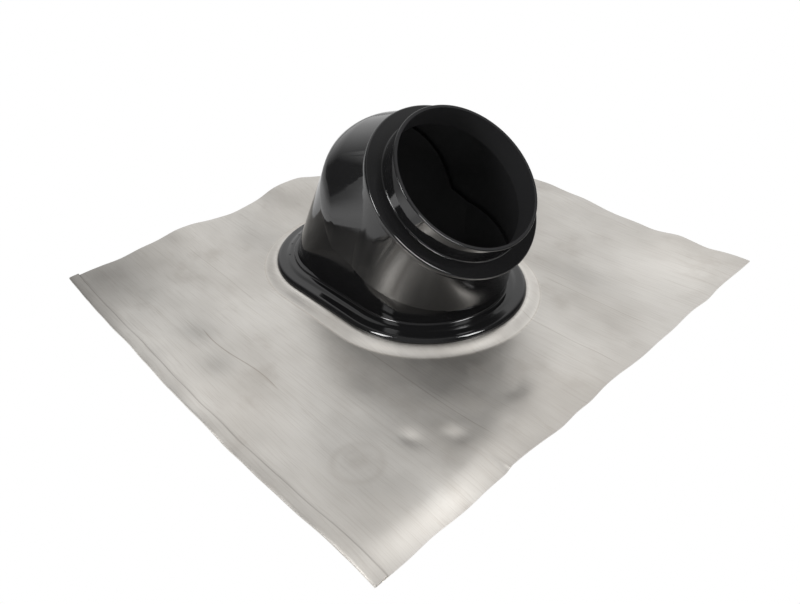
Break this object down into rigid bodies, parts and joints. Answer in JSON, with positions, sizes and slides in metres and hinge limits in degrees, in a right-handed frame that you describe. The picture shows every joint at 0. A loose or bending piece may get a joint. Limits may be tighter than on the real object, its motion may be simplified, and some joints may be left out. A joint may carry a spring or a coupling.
{
  "type": "pitched roof flue seal",
  "caption": "Roof flashing sheet of soft aluminium with a black domed cowl whose slanted round collar seals a flue pipe upright on a pitched roof.",
  "frame": {"origin": "middle of the flashing sheet's underside, where the sheet lies on the roof", "axes": "+Z is the sheet's normal, +X points up the roof slope, the way that the collar leans, and +Y lies across the slope"},
  "size_m": [0.468, 0.4956, 0.1762],
  "materials": {
    "soft_aluminium": "rolled, hand-bent, smudged and scuffed",
    "black_plastic": "glossy moulded"
  },
  "bodies": {
    "root": {"flashing_sheet": "soft_aluminium", "base_moulding": "black_plastic", "hood_moulding": "black_plastic"}
  },
  "joints": []
}
